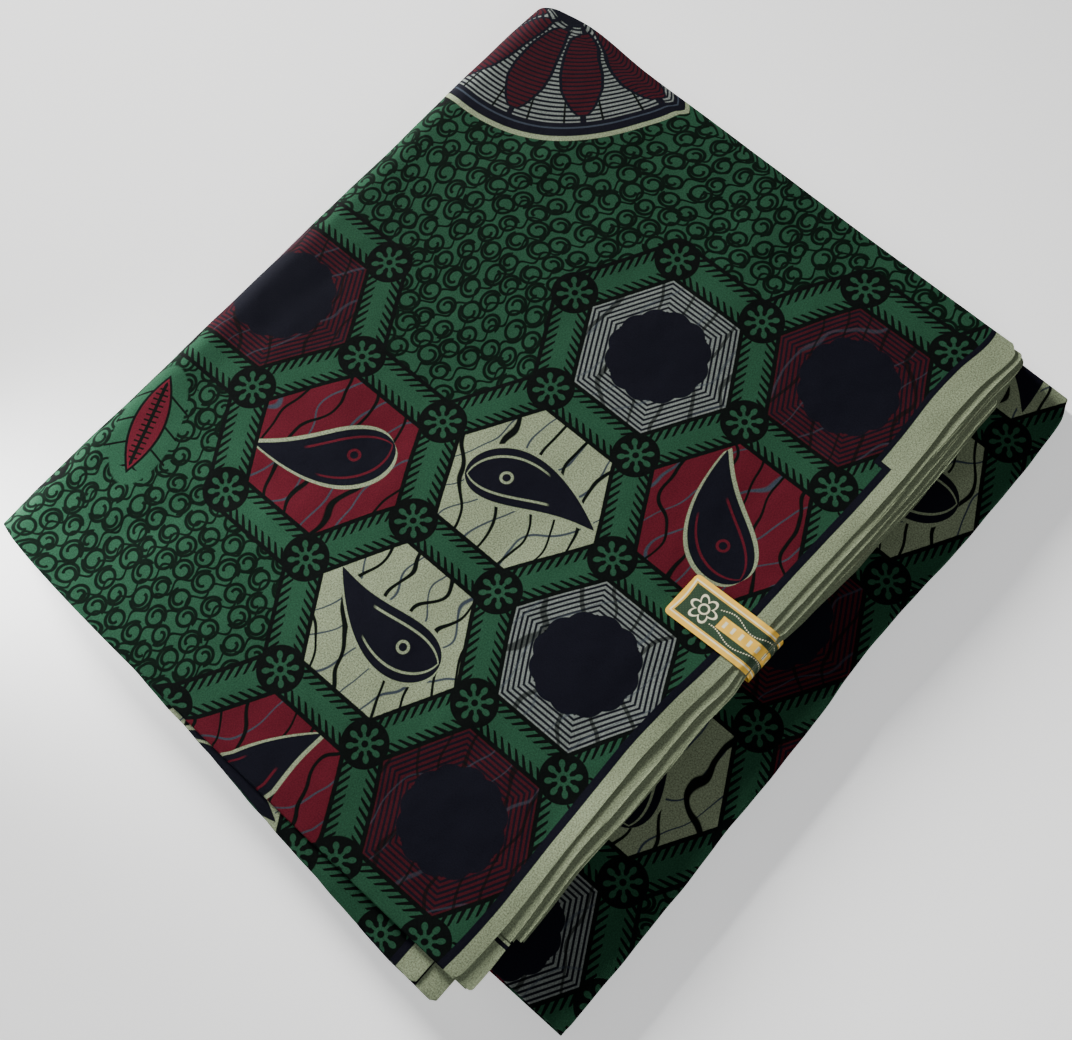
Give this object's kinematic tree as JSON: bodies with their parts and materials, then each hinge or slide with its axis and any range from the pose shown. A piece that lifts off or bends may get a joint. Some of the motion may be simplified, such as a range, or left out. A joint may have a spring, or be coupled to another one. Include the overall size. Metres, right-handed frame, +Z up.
{
  "type": "folded wax print fabric",
  "caption": "Long cut of printed cotton wax fabric, folded into a flat rectangular pack with a rounded spine and fanned plain selvedges held by a small paper label.",
  "frame": {"origin": "centre of the pack's box on the surface it lies on", "axes": "+X from the rounded spine to the selvedges, +Y along the selvedges, +Z up"},
  "size_m": [0.3285, 0.3784, 0.0215],
  "materials": {
    "print": "plain woven cotton with a smooth wax finish, printed in green, black, navy, crimson and sage",
    "selvedge": "plain sage green cotton selvedge",
    "label": "printed paper with a slight gloss, gold border on dark green"
  },
  "bodies": {
    "root": {"outer_sheet": "print", "inner_sheet": "print", "core": "print", "selvedge_second": "selvedge", "selvedge_third": "selvedge", "selvedge_fourth": "selvedge", "corner_layer": "selvedge", "fan_upper": "print", "fan_lower": "print", "label": "label"}
  },
  "joints": []
}
